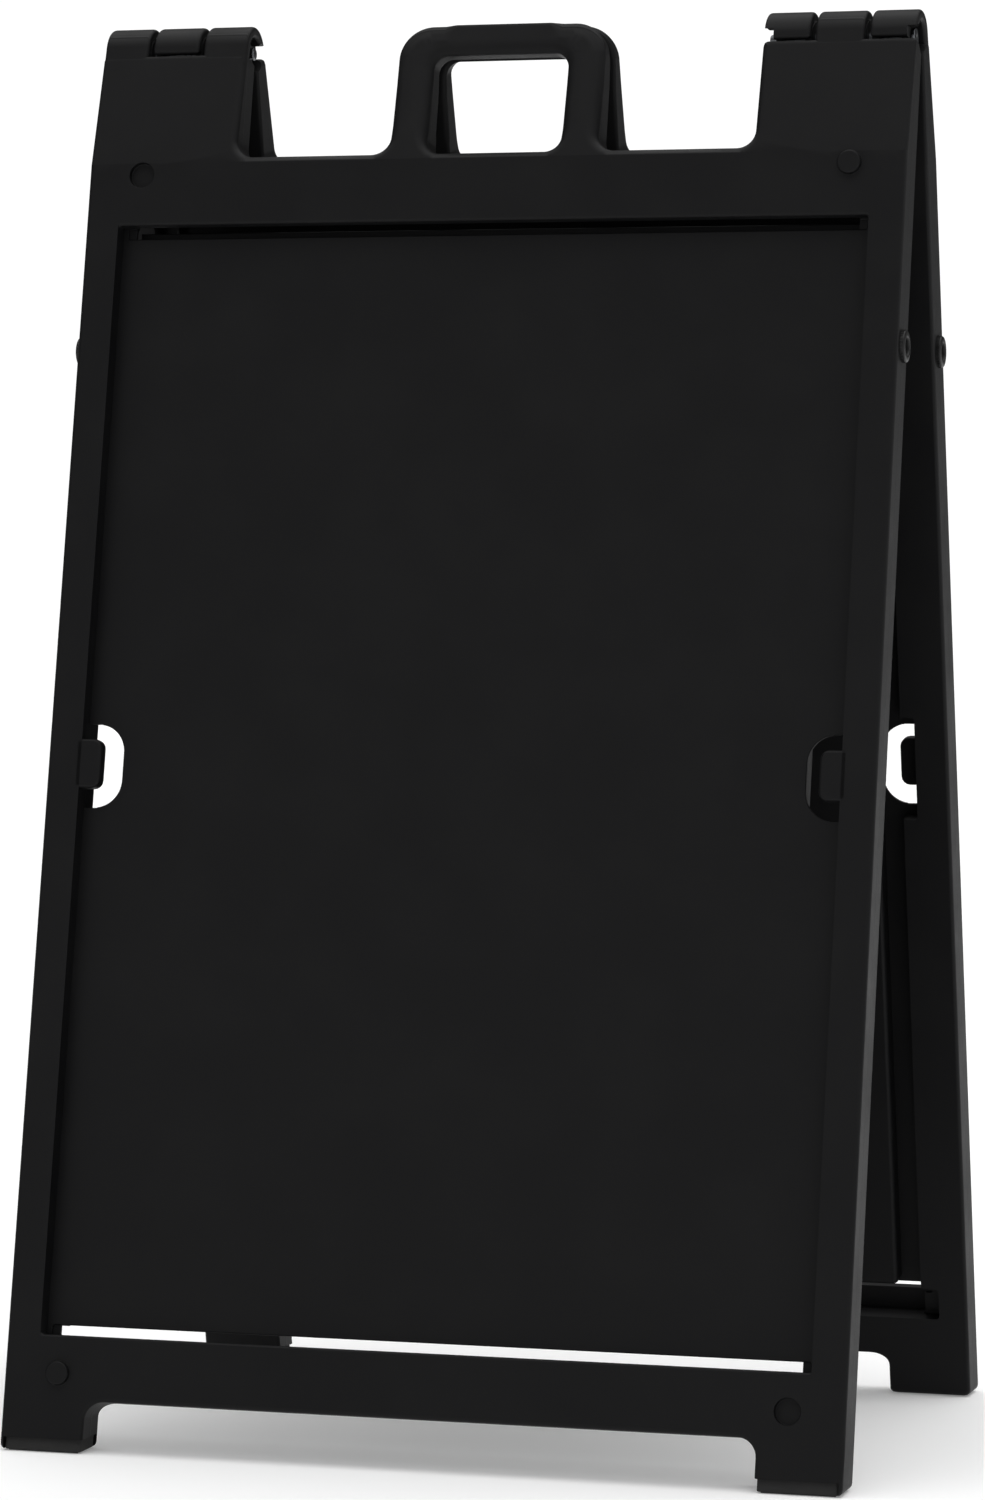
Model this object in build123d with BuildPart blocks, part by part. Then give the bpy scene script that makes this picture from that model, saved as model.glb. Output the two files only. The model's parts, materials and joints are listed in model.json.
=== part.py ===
"""A folding sandwich board: two identical hollow plastic leaves on two steel hinge rods.

Each leaf is drawn hanging straight down from the hinge axis: X runs across it, Z runs up it and the
outer, printed side faces -Y. The finished pieces are then leaned out by lean_angle for the front leaf,
and turned half round for the rear leaf. Distances named drop_... run down the leaf from the hinge axis.
An offset is a distance out from the hinge axis, square to the leaf.
"""

from build123d import *
from math import cos, radians, sin, tan
import os

# ---------------------------------------------------------------- the sign sheet that a leaf displays
sheet_width = 609.6
sheet_length = 914.4
sheet_thickness = 4.0
sheet_side_play = 1.2
sheet_end_play = 1.0
sheet_face_play = 0.5

# ---------------------------------------------------------------- the leaf
leaf_thickness = 35.4
fold_gap = 2.4
lean_angle = 11.15
stile_width = 27.5
stile_back_width = 38.0
tower_width = 121.5
tower_top_drop = 6.0
tower_height = 87.5
bend_drop = 5.0
top_rail_height = 37.5
bottom_rail_height = 32.0
lip_height = 18.0
lip_thickness = 10.0
slot_gap = 8.0
slot_end = 4.0
web_thickness = 4.0
core_setback = 1.8
core_wall = 2.5
vent_radius = 2.5
vent_inset = 16.0
slot_bar_thickness = 5.0
channel_width = 19.5
foot_height = 30.0
foot_width = 67.5
wall = 2.8
edge_round = 3.5
inner_corner_round = 14.0
foot_corner_round = 15.0

# ---------------------------------------------------------------- hinge
rod_radius = 5.0
rod_play = 0.08
hook_outer_radius = 22.0
hook_wall = 8.5
hook_lip_angle = 80.0
knuckle_gap = 4.0
middle_knuckle_width = 39.0
cheek_overlap = 0.5
cheek_thickness = 6.0
cheek_recess = 8.0
pocket_play = 1.0
rod_end_inset = 1.0
rod_head_radius = 8.0
rod_head_thickness = 3.0
rod_chamfer = 0.8
clip_radius = 10.0
clip_thickness = 1.2
clip_collar_radius = 7.0
clip_collar_length = 2.8
clip_play = 0.03
axial_play = 0.1

# ---------------------------------------------------------------- handle
handle_width = 170.0
handle_rise = 14.3
handle_bar = 25.0
handle_leg = 30.0
handle_root = 20.0
handle_outer_round = 27.0
handle_gap_round = 12.0
handle_edge_round = 5.0
handle_clearance = 0.6

# ---------------------------------------------------------------- sheet tabs and their windows
tab_reach = 17.0
tab_height = 39.0
tab_corner = 7.0
tab_rise = 6.5
window_reach = 30.0
window_height = 66.0
window_corner = 22.0
tab_pocket_drop = 9.0
tab_pocket_rise = 9.0

# ---------------------------------------------------------------- stacking studs and sockets
stud_radius = 9.3
stud_height = 4.0
stud_play = 0.9
stud_inset = 44.5
upper_stud_drop = 14.5
lower_stud_rise = 20.5

# ---------------------------------------------------------------- ballast filler and its plug
filler_radius = 8.0
filler_drop = 155.0
plug_play = 0.1
plug_flange_radius = 12.8
plug_flange_height = 4.0
plug_round = 1.2
plug_well_radius = 6.8
plug_well_depth = 7.0
plug_length = 9.0

# ---------------------------------------------------------------- rubber feet
pad_height = 11.0
pad_proud = 1.0
pad_inset = 1.6
pad_setback = 2.5
pad_play = 0.15
pad_round = 3.0
skirt = 3.0
peg_radius = 4.5
peg_length = 10.0
peg_play = 0.05
peg_pitch = 32.0
peg_offset_from_back = 16.0

# ---------------------------------------------------------------- modelling margins
overrun = 1.0
near = 0.01
near_bend = 0.1
near_taper = 0.2

# ---------------------------------------------------------------- places worked out from those
lean = radians(lean_angle)
recess_width = sheet_width + 2 * sheet_side_play
pocket_length = sheet_length + 2 * sheet_end_play
half_recess = recess_width / 2
half_width = half_recess + stile_width
inner_face = fold_gap / 2
outer_face = inner_face + leaf_thickness
drop_rail = tower_top_drop + tower_height
drop_bend = drop_rail + bend_drop
drop_pocket_top = drop_rail + top_rail_height
drop_pocket_bottom = drop_pocket_top + pocket_length
drop_recess_top = drop_pocket_top + lip_height
drop_recess_bottom = drop_pocket_bottom - lip_height
drop_web_top = drop_recess_top + slot_gap
drop_web_bottom = drop_recess_bottom - slot_gap
drop_rail_bottom = drop_pocket_bottom + bottom_rail_height
lip_back = outer_face - lip_thickness
web_front = lip_back - sheet_thickness - sheet_face_play
web_back = web_front - web_thickness
core_back = inner_face + core_setback
bar_front = core_back + slot_bar_thickness
half_back_opening = half_width - stile_back_width
half_core = half_back_opening - channel_width
tower_inner = half_width - tower_width
tower_centre = half_width - tower_width / 2
taper = (outer_face - hook_outer_radius) / drop_bend
handle_top_face = hook_outer_radius - taper * handle_rise
handle_back = inner_face + handle_rise * tan(lean) + handle_clearance
handle_gap_top = handle_bar - handle_rise
foot_inner = half_width - foot_width
drop_tab = (drop_recess_top + drop_recess_bottom) / 2 - tab_rise
drop_pad_seat = drop_rail_bottom + foot_height
hinge_height = drop_pad_seat * cos(lean) - outer_face * sin(lean) + pad_height
filler_level = drop_rail + filler_drop
middle_offset = (inner_face + outer_face) / 2
hook_inner_radius = hook_outer_radius - hook_wall
stud_x = half_width - stud_inset
far_below = drop_pad_seat + pad_height + leaf_thickness
far_in = -leaf_thickness
far_out = outer_face + leaf_thickness

front_pose = Location((0, 0, hinge_height)) * Rotation(-lean_angle, 0, 0)
rear_pose = Rotation(0, 0, 180) * front_pose


def level_drop(offset, height):
    """How far down a leaf lies the point at this offset that stands this high off the ground, opened."""
    return (hinge_height + offset * sin(lean) - height) / cos(lean)


def hook_spans():
    """Where a leaf's hooks stand across it: both ends of the left tower, the middle of the right one."""
    half_middle = middle_knuckle_width / 2
    return (
        (-half_width, -tower_centre - half_middle - knuckle_gap),
        (-tower_centre + half_middle + knuckle_gap, -tower_inner),
        (tower_centre - half_middle, tower_centre + half_middle),
    )


def hook_pocket_spans():
    """Where a leaf's towers make room for the other leaf's hooks."""
    left_outer, left_inner, right_middle = hook_spans()
    return (
        (left_outer[1], left_inner[0]),
        (tower_inner, right_middle[0]),
        (right_middle[1], half_width),
    )


def cheek_spans():
    """The webs that carry the rod inside each hook. Those at a tower's end stand back from it."""
    left_outer, left_inner, right_middle = hook_spans()
    return (
        (left_outer[0] + cheek_recess, left_outer[0] + cheek_recess + cheek_thickness),
        (left_outer[1] - cheek_thickness, left_outer[1]),
        (left_inner[0], left_inner[0] + cheek_thickness),
        (left_inner[1] - cheek_recess - cheek_thickness, left_inner[1] - cheek_recess),
        (right_middle[0], right_middle[0] + cheek_thickness),
        (right_middle[1] - cheek_thickness, right_middle[1]),
    )


def end_recess_spans():
    """Where the rod's head and clip sit, under the ends of the outermost hooks."""
    left_outer, left_inner, right_middle = hook_spans()
    return (
        (left_outer[0], left_outer[0] + cheek_recess),
        (left_inner[1] - cheek_recess, left_inner[1]),
    )


def block(x_span, drop_span, offset_span, mode=Mode.ADD):
    """A plain block across the leaf, between two drops and two offsets."""
    with BuildSketch(Plane.XZ.offset(offset_span[0])) as face:
        with Locations(((x_span[0] + x_span[1]) / 2, -(drop_span[0] + drop_span[1]) / 2)):
            Rectangle(x_span[1] - x_span[0], drop_span[1] - drop_span[0])
    extrude(face.sketch, amount=offset_span[1] - offset_span[0], mode=mode)


def both_sides(x_span):
    """A span across the leaf and its mirror image."""
    return (x_span, (-x_span[1], -x_span[0]))


def side_profile(x_span, corners, mode=Mode.ADD):
    """A straight-sided shape along X from its (offset, drop) corners, between two places across the leaf."""
    with BuildSketch(Plane.YZ.offset(x_span[0])) as profile:
        with BuildLine():
            Polyline([(-offset, -drop) for offset, drop in corners], close=True)
        make_face()
    extrude(profile.sketch, amount=x_span[1] - x_span[0], mode=mode)


def bar_across(x_span, radius, mode=Mode.ADD):
    """A round bar on the hinge axis."""
    with BuildSketch(Plane.YZ.offset(x_span[0])) as circle:
        Circle(radius)
    extrude(circle.sketch, amount=x_span[1] - x_span[0], mode=mode)


def corners_at(sketch, drop):
    """The corners of a sketched outline that lie at this drop."""
    return sketch.vertices().filter_by(lambda v: abs(v.Y + drop) < near)


def corners_across(sketch, distance):
    """The corners of a sketched outline that lie this far left or right of the middle."""
    return sketch.vertices().filter_by(lambda v: abs(abs(v.X) - distance) < near)


def body_blank():
    """The frame's outline with its towers and feet, cut to its tapered side profile, edges rounded."""
    right = [
        (tower_inner, -drop_rail),
        (tower_inner, -tower_top_drop),
        (half_width, -tower_top_drop),
        (half_width, -far_below),
        (foot_inner, -far_below),
        (foot_inner, -drop_rail_bottom),
    ]
    with BuildPart() as blank:
        with BuildSketch(Plane.XZ.offset(inner_face)) as outline:
            with BuildLine():
                Polyline(right + [(-x, z) for x, z in reversed(right)], close=True)
            make_face()
            fillet(corners_at(outline, drop_rail), inner_corner_round)
            fillet(corners_at(outline, drop_rail_bottom), foot_corner_round)
        extrude(amount=leaf_thickness)
        with BuildSketch(Plane.YZ):
            with BuildLine():
                Polyline(
                    (-inner_face, 0),
                    (-hook_outer_radius, 0),
                    (-outer_face, -drop_bend),
                    (-outer_face, -level_drop(outer_face, pad_proud)),
                    (-inner_face, -level_drop(inner_face, pad_proud)),
                    close=True,
                )
            make_face()
        extrude(amount=half_width, both=True, mode=Mode.INTERSECT)
        fillet(blank.edges().filter_by(is_rim), edge_round)
    return blank.part


def outer_offset(drop):
    """The offset of the outer face at this drop, but for the small round at the bend."""
    return outer_face if drop > drop_bend else hook_outer_radius + taper * drop


def is_rim(edge):
    """Whether an edge runs round the outer or the inner face, between the tower tops and the soles."""
    middle = edge @ 0.5
    drop = -middle.Z
    sole = level_drop(inner_face, pad_proud)
    if not tower_top_drop + overrun < drop < sole - overrun or abs(drop - drop_bend) < near_bend:
        return False
    on_inner = abs(-middle.Y - inner_face) < near
    on_outer = abs(-middle.Y - outer_offset(drop)) < near_taper
    return (on_inner or on_outer) and not square_to_leaf(edge)


def square_to_leaf(edge):
    """Whether an edge runs through the leaf's thickness rather than round a face."""
    along = (edge @ 1) - (edge @ 0)
    return abs(along.Y) > along.length / 2


def cut_recess():
    """The sheet's recess, the grooves behind the lips, the slots, and the relief and bar at the back."""
    slot_half = half_recess - slot_end
    recess = (-half_recess, half_recess)
    block(recess, (drop_recess_top, drop_recess_bottom), (web_front, far_out), Mode.SUBTRACT)
    block(recess, (drop_pocket_top, drop_pocket_bottom), (web_front, lip_back), Mode.SUBTRACT)
    for drops in ((drop_pocket_top, drop_web_top), (drop_web_bottom, drop_pocket_bottom)):
        block((-half_back_opening, half_back_opening), drops, (far_in, web_front), Mode.SUBTRACT)
    for drops in ((drop_recess_top, drop_web_top), (drop_web_bottom, drop_recess_bottom)):
        block((-slot_half, slot_half), drops, (far_in, far_out), Mode.SUBTRACT)
    block((-half_core, half_core), (drop_web_top, drop_web_bottom), (far_in, core_back), Mode.SUBTRACT)
    cut_core_hollow()
    for x_span in both_sides((half_core, half_back_opening)):
        block(x_span, (drop_web_top, drop_web_bottom), (far_in, web_back), Mode.SUBTRACT)
    bar_half = half_back_opening + overrun
    block((-bar_half, bar_half), (drop_recess_top, drop_web_top + core_wall), (core_back, bar_front))


def cut_core_hollow():
    """The hollow between the web's front wall and its back wall, with a vent near each lower corner."""
    core_inside = half_core - core_wall
    drops = (drop_web_top + core_wall, drop_web_bottom - core_wall)
    block((-core_inside, core_inside), drops, (core_back + core_wall, web_front - core_wall), Mode.SUBTRACT)
    for side in (-1, 1):
        place = (side * (half_core - vent_inset), vent_inset - drop_web_bottom)
        disc(place, (far_in, core_back + core_wall + overrun), vent_radius, Mode.SUBTRACT)


def cut_tab_windows():
    """A D-shaped window through the web beside each tab, open behind the tab."""
    window_inner = half_recess - window_reach
    drops = (drop_tab - window_height / 2, drop_tab + window_height / 2)
    for side in (-1, 1):
        with BuildSketch(Plane.XZ.offset(far_in)) as window:
            with Locations((side * (half_recess + window_inner) / 2, -drop_tab)):
                Rectangle(window_reach, window_height)
            fillet(corners_across(window, window_inner), window_corner)
        extrude(window.sketch, amount=far_out - far_in, mode=Mode.SUBTRACT)
    for x_span in both_sides((half_back_opening, half_recess)):
        block(x_span, drops, (far_in, lip_back), Mode.SUBTRACT)
        behind_web = (drops[0] - tab_pocket_rise, drops[1] + tab_pocket_drop)
        block(x_span, behind_web, (far_in, web_back), Mode.SUBTRACT)


def add_tabs():
    """The tabs that hold the sheet's long edges, flush with the outer face."""
    for side in (-1, 1):
        tip = half_recess - tab_reach
        root = half_recess + wall
        with BuildSketch(Plane.XZ.offset(lip_back)) as tab:
            with Locations((side * (tip + root) / 2, -drop_tab)):
                Rectangle(root - tip, tab_height)
            fillet(corners_across(tab, tip), tab_corner)
        extrude(tab.sketch, amount=lip_thickness)


def cut_ballast_cavity():
    """One joined hollow in the stiles, the rails, the towers and the feet, filled through either plug."""
    deep = (inner_face + wall, outer_face - wall)
    across = (-half_width + wall, half_width - wall)
    top_rail = (drop_rail + wall, drop_pocket_top - wall)
    bottom_rail = (drop_pocket_bottom + wall, drop_rail_bottom - wall)
    block(across, top_rail, deep, Mode.SUBTRACT)
    block(across, bottom_rail, deep, Mode.SUBTRACT)
    for x_span in both_sides((half_recess + wall, half_width - wall)):
        block(x_span, (top_rail[0], bottom_rail[1]), deep, Mode.SUBTRACT)
    foot_floor = level_drop(inner_face, pad_height) - peg_length - wall
    for x_span in both_sides((foot_inner + wall, half_width - wall)):
        block(x_span, (bottom_rail[0], foot_floor), deep, Mode.SUBTRACT)
    pocket_floor = hook_inner_radius + pocket_play + wall
    for x_span in both_sides((tower_inner + wall, half_width - wall)):
        corners = (
            (deep[0], pocket_floor),
            (outer_offset(pocket_floor) - wall, pocket_floor),
            (outer_offset(top_rail[0]) - wall, top_rail[0] + overrun),
            (deep[0], top_rail[0] + overrun),
        )
        side_profile(x_span, corners, Mode.SUBTRACT)


def cut_fillers():
    """The plain round filler holes through both side walls, which the plugs close."""
    for side in (-1, 1):
        start = half_recess + 2 * wall
        with BuildSketch(Plane.YZ.offset(side * start)) as hole:
            with Locations((-middle_offset, -filler_level)):
                Circle(filler_radius)
        extrude(hole.sketch, amount=side * (half_width - start + overrun), mode=Mode.SUBTRACT)


def disc(place, offset_span, radius, mode=Mode.ADD):
    """A round boss or hole square to the leaf, between two offsets."""
    with BuildSketch(Plane.XZ.offset(offset_span[0])) as circle:
        with Locations(place):
            Circle(radius)
    extrude(circle.sketch, amount=offset_span[1] - offset_span[0], mode=mode)


def add_studs():
    """Two studs and two sockets on the outer face, so that folded boards stack without sliding."""
    upper = -drop_rail - upper_stud_drop
    lower = -drop_rail_bottom + lower_stud_rise
    floor = outer_face - stud_height - stud_play
    for place in ((stud_x, upper), (-stud_x, lower)):
        disc(place, (outer_face - wall, outer_face + stud_height), stud_radius)
    for place in ((-stud_x, upper), (stud_x, lower)):
        disc(place, (floor - wall, outer_face - wall / 2), stud_radius + stud_play + wall)
        disc(place, (floor, far_out), stud_radius + stud_play, Mode.SUBTRACT)


def round_axis(radius, angle):
    """The (Y, Z) of a point this far from the hinge axis, turned this far inwards from straight above it."""
    return radius * sin(radians(angle)), radius * cos(radians(angle))


def add_hooks():
    """The hooks that curl over the hinge axis from the tower tops, and the webs inside them."""
    halfway = (hook_lip_angle - 90) / 2
    tip_outer = round_axis(hook_outer_radius, hook_lip_angle)
    tip_inner = round_axis(hook_inner_radius, hook_lip_angle)
    root_z = -tower_top_drop - wall
    for x_span in hook_spans():
        with BuildSketch(Plane.YZ.offset(x_span[0])) as section:
            with BuildLine():
                ThreePointArc((-hook_outer_radius, 0), round_axis(hook_outer_radius, halfway), tip_outer)
                Line(tip_outer, tip_inner)
                ThreePointArc(tip_inner, round_axis(hook_inner_radius, halfway), (-hook_inner_radius, 0))
                Polyline(
                    (-hook_inner_radius, 0),
                    (-hook_inner_radius, root_z),
                    (-outer_offset(tower_top_drop), root_z),
                    (-hook_outer_radius, 0),
                )
            make_face()
        extrude(section.sketch, amount=x_span[1] - x_span[0])
    for x_span in cheek_spans():
        bar_across(x_span, hook_inner_radius + cheek_overlap)


def handle_hoop():
    """The carrying handle: a rounded hoop rising from the top rail, clear of the other leaf's handle."""
    handle_half = handle_width / 2
    gap_half = handle_half - handle_leg
    root_drop = drop_rail + handle_root
    with BuildPart() as hoop:
        with BuildSketch(Plane.XZ.offset(inner_face)) as outline:
            with BuildLine():
                flare = handle_half + inner_corner_round
                right = [
                    (handle_half, handle_rise),
                    (handle_half, -drop_rail),
                    (flare + inner_corner_round, -drop_rail),
                    (flare + inner_corner_round, -root_drop),
                ]
                Polyline(right + [(-x, z) for x, z in reversed(right)], close=True)
            make_face()
            fillet(corners_at(outline, -handle_rise), handle_outer_round)
            fillet(corners_at(outline, drop_rail).filter_by(lambda v: abs(v.X) < flare), inner_corner_round)
            with Locations((0, -(handle_gap_top + drop_rail) / 2)):
                RectangleRounded(2 * gap_half, drop_rail - handle_gap_top, handle_gap_round, mode=Mode.SUBTRACT)
        extrude(amount=leaf_thickness)
        side_profile(
            (-half_width, half_width),
            (
                (inner_face, root_drop),
                (inner_face, handle_gap_top + handle_bar),
                (handle_back, handle_gap_top),
                (handle_back, -handle_rise),
                (handle_top_face, -handle_rise),
                (outer_offset(root_drop), drop_bend),
                (outer_offset(root_drop), root_drop),
            ),
            Mode.INTERSECT,
        )
        fillet(hoop.edges().filter_by(is_hoop_rim), handle_edge_round)
    return hoop.part


def is_hoop_rim(edge):
    """Whether an edge runs round the handle's front or back above the rail, but for the bend in its back."""
    drop = -(edge @ 0.5).Z
    at_bend = abs(drop - handle_gap_top - handle_bar) < near_bend
    return drop < drop_rail - near and not at_bend and not square_to_leaf(edge)


def pad_bounds(side, clearance):
    """The x span and the back offset of a foot pad, or of its seat when the clearance is the play."""
    inner_end = foot_inner + pad_inset
    outer_end = half_width - skirt - pad_play + clearance
    x_span = (inner_end, outer_end) if side > 0 else (-outer_end, -inner_end)
    return x_span, inner_face + skirt + pad_play - clearance


def peg_places(side):
    """Where a pad's two pegs stand across the leaf."""
    (start, end), back = pad_bounds(side, 0)
    return [(start + end) / 2 - peg_pitch / 2, (start + end) / 2 + peg_pitch / 2]


def cut_foot_seats():
    """A seat under each foot for its pad: open at the front and inside, walled outside and behind."""
    for side in (-1, 1):
        x_span, back = pad_bounds(side, pad_play)
        open_end = foot_inner - overrun
        x_span = (open_end, x_span[1]) if side > 0 else (x_span[0], -open_end)
        corners = (
            (back, level_drop(back, pad_height)),
            (far_out, level_drop(far_out, pad_height)),
            (far_out, far_below),
            (back, far_below),
        )
        side_profile(x_span, corners, Mode.SUBTRACT)
        for x in peg_places(side):
            peg(x, peg_radius + peg_play, peg_length + overrun, Mode.SUBTRACT)


def peg(x, radius, length, mode=Mode.ADD):
    """A round peg, or its hole, rising along the leaf from the pad's seat."""
    offset = inner_face + peg_offset_from_back
    root = level_drop(offset, pad_height) + radius
    with BuildSketch(Plane.XY.offset(-root)) as circle:
        with Locations((x, -offset)):
            Circle(radius)
    extrude(circle.sketch, amount=length + radius, mode=mode)


def foot_pad(side):
    """A rubber pad, level underneath when the board is open, pressed into its foot by two pegs."""
    x_span, back = pad_bounds(side, 0)
    face = outer_face - pad_setback
    with BuildPart() as pad:
        corners = (
            (back, level_drop(back, pad_height)),
            (face, level_drop(face, pad_height)),
            (face, level_drop(face, 0)),
            (back, level_drop(back, 0)),
        )
        side_profile(x_span, corners)
        fillet(pad.edges().filter_by(Axis.Z), pad_round)
        for x in peg_places(side):
            peg(x, peg_radius, peg_length)
    return pad.part


def filler_plug(side):
    """A push-in plug: a domed flange with a thumb well, and a barrel that fits the filler hole."""
    with BuildPart() as plug:
        with BuildSketch(Plane.XY):
            with BuildLine():
                Polyline(
                    (0, -plug_length),
                    (filler_radius - plug_play, -plug_length),
                    (filler_radius - plug_play, 0),
                    (plug_flange_radius, 0),
                    (plug_flange_radius, plug_flange_height),
                    (plug_well_radius, plug_flange_height),
                    (plug_well_radius, plug_flange_height - plug_well_depth),
                    (0, plug_flange_height - plug_well_depth),
                    close=True,
                )
            make_face()
        revolve(axis=Axis.Y)
        rim = plug.edges().filter_by(GeomType.CIRCLE).group_by(Axis.Y)[-1]
        fillet(rim, plug_round)
    turned = Location((side * half_width, -middle_offset, -filler_level)) * Rotation(0, 0, -side * 90)
    return turned * plug.part


def hinge_rod():
    """The steel rod through the left tower's hooks, with a flat head at its outer end."""
    head_seat = -half_width + cheek_recess - axial_play
    tip = -tower_inner - rod_end_inset
    with BuildPart() as rod:
        bar_across((head_seat, tip), rod_radius)
        bar_across((head_seat - rod_head_thickness, head_seat), rod_head_radius)
        ends = rod.edges().filter_by(GeomType.CIRCLE).group_by(Axis.X)
        chamfer(ends[0] + ends[-1], rod_chamfer)
    return rod.part


def rod_clip():
    """The push-on cap washer that keeps the rod in, tight against the innermost web."""
    seat = -tower_inner - cheek_recess + axial_play
    with BuildPart() as clip:
        bar_across((seat, seat + clip_thickness), clip_radius)
        bar_across((seat, seat + clip_collar_length), clip_collar_radius)
        bar_across((seat, seat + clip_collar_length), rod_radius + clip_play, Mode.SUBTRACT)
    return clip.part


def leaf():
    """One moulded leaf, hanging straight down from the hinge axis."""
    blank = body_blank()
    hoop = handle_hoop()
    with BuildPart() as moulding:
        add(blank)
        cut_recess()
        add_tabs()
        cut_tab_windows()
        cut_ballast_cavity()
        cut_fillers()
        cut_foot_seats()
        add_studs()
        add_hooks()
        for x_span in hook_pocket_spans():
            bar_across(x_span, hook_inner_radius + pocket_play, Mode.SUBTRACT)
        for x_span in end_recess_spans():
            bar_across(x_span, clip_radius + pocket_play, Mode.SUBTRACT)
        add(hoop)
        for x_span in both_sides((tower_inner, half_width)):
            bar_across(x_span, rod_radius + rod_play, Mode.SUBTRACT)
    return moulding.part


def write(name, piece):
    """Labels a finished piece and writes it."""
    piece.label = name
    export_step(piece, f"parts/{name}.step")


os.makedirs("parts", exist_ok=True)
moulded_leaf = leaf()
for leaf_name, pose, hinge_side, sides in (
    ("front", front_pose, "left", {"left": -1, "right": 1}),
    ("rear", rear_pose, "right", {"left": 1, "right": -1}),
):
    write(f"{leaf_name}_panel", pose * moulded_leaf)
    write(f"{hinge_side}_hinge_rod", pose * hinge_rod())
    write(f"{hinge_side}_rod_clip", pose * rod_clip())
    for side_name, side in sides.items():
        write(f"{leaf_name}_{side_name}_foot_pad", pose * foot_pad(side))
        write(f"{leaf_name}_{side_name}_filler_plug", pose * filler_plug(side))
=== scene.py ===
import json
import math

import bmesh
import bpy
from mathutils import Matrix, Vector


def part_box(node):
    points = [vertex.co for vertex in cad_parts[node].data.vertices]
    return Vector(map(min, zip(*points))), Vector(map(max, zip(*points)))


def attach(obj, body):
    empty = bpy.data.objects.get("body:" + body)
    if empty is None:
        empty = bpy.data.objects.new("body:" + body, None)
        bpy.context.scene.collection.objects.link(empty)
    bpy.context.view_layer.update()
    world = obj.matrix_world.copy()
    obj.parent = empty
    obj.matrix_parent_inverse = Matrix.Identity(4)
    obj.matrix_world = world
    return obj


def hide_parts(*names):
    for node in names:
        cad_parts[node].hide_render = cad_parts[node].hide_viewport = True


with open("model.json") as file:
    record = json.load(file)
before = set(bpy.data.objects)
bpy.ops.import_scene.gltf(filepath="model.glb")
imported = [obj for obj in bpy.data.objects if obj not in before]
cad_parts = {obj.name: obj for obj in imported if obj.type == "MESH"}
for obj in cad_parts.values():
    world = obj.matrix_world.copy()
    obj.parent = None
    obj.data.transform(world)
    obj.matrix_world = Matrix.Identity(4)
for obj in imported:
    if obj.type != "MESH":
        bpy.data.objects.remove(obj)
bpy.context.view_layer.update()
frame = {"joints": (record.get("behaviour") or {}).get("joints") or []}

# ---- The two panels ------------------------------------------------------------------------------
# Each panel is one blow-moulded polyethylene shell: stiles and rails round a thin web, with the feet,
# the handle and the hinge hooks moulded on. Both come out of the same mould and one is turned round.
# They are drawn hanging from the hinge axis, in millimetres: x across, drop down, offset outwards.

MM = 0.001
fold = frame["joints"][0]
hinge = Vector(fold["pos_m"])
lean = math.radians(abs(fold["range_deg"][0]) / 2)
lean_out = Matrix.Translation(hinge) @ Matrix.Rotation(-lean, 4, "X") @ Matrix.Scale(MM, 4)
place = {"front": lean_out, "rear": Matrix.Rotation(math.pi, 4, "Z") @ lean_out}

HALF_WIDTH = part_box("front_panel")[1].x / MM
INNER_FACE = 1.2
OUTER_FACE = 36.6
STILE = 27.5
STILE_BACK = 38.0
CHANNEL = 19.5
TOWER = 121.5
TOWER_TOP = 6.0
RAIL_TOP = 93.5
BEND = 98.5
POCKET_TOP = 131.0
POCKET_BOTTOM = 1047.4
RAIL_BOTTOM = 1079.4
PAD_HEIGHT = 11.0
PAD_PROUD = 1.0
FOOT = 67.5
LIP = 18.0
LIP_THICK = 10.0
SLOT = 8.0
SLOT_END = 4.0
WEB_FRONT = 22.1
WEB_BACK = 18.1
CORE_BACK = 3.0
HOOK_RADIUS = 22.0
HOOK_WALL = 8.5
HOOK_LIP = 80
HANDLE_HALF = 85.0
HANDLE_RISE = 14.3
HANDLE_BAR = 25.0
HANDLE_LEG = 30.0
HANDLE_BACK = 4.6
TAB_DROP = 582.7
TAB_HEIGHT = 39.0
TAB_REACH = 17.0
WINDOW_REACH = 30.0
WINDOW_HEIGHT = 66.0
half_recess = HALF_WIDTH - STILE
recess_top = POCKET_TOP + LIP
recess_bottom = POCKET_BOTTOM - LIP
tower_inner = HALF_WIDTH - TOWER
foot_inner = HALF_WIDTH - FOOT
gap_top = HANDLE_BAR - HANDLE_RISE
taper = (OUTER_FACE - HOOK_RADIUS) / BEND


def level_drop(offset, height):
    """How far down a panel the point at this offset stands this high off the ground."""
    return (hinge.z / MM + offset * math.sin(lean) - height) / math.cos(lean)


def rounded(corners, step=10.0):
    """A closed outline of (x, z) points from (x, drop, radius) corners, long sides cut into short steps."""
    arcs = []
    for i, (x, drop, radius) in enumerate(corners):
        here = Vector((x, -drop))
        back = (Vector((corners[i - 1][0], -corners[i - 1][1])) - here).normalized()
        following = corners[(i + 1) % len(corners)]
        ahead = (Vector((following[0], -following[1])) - here).normalized()
        if radius == 0:
            arcs.append([here])
            continue
        half = back.angle(ahead) / 2
        centre = here + (back + ahead).normalized() * radius / math.sin(half)
        first = here + back * radius / math.tan(half) - centre
        sweep = first.angle_signed(here + ahead * radius / math.tan(half) - centre)
        pieces = max(4, round(abs(sweep) * radius / 2.5))
        arcs.append([centre + Matrix.Rotation(-sweep * k / pieces, 2) @ first for k in range(pieces + 1)])
    points = []
    for i, arc in enumerate(arcs):
        points += arc
        side = arcs[(i + 1) % len(arcs)][0] - arc[-1]
        cuts = int(side.length // step)
        points += [arc[-1] + side * (k + 1) / (cuts + 1) for k in range(cuts)]
    return points


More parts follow.
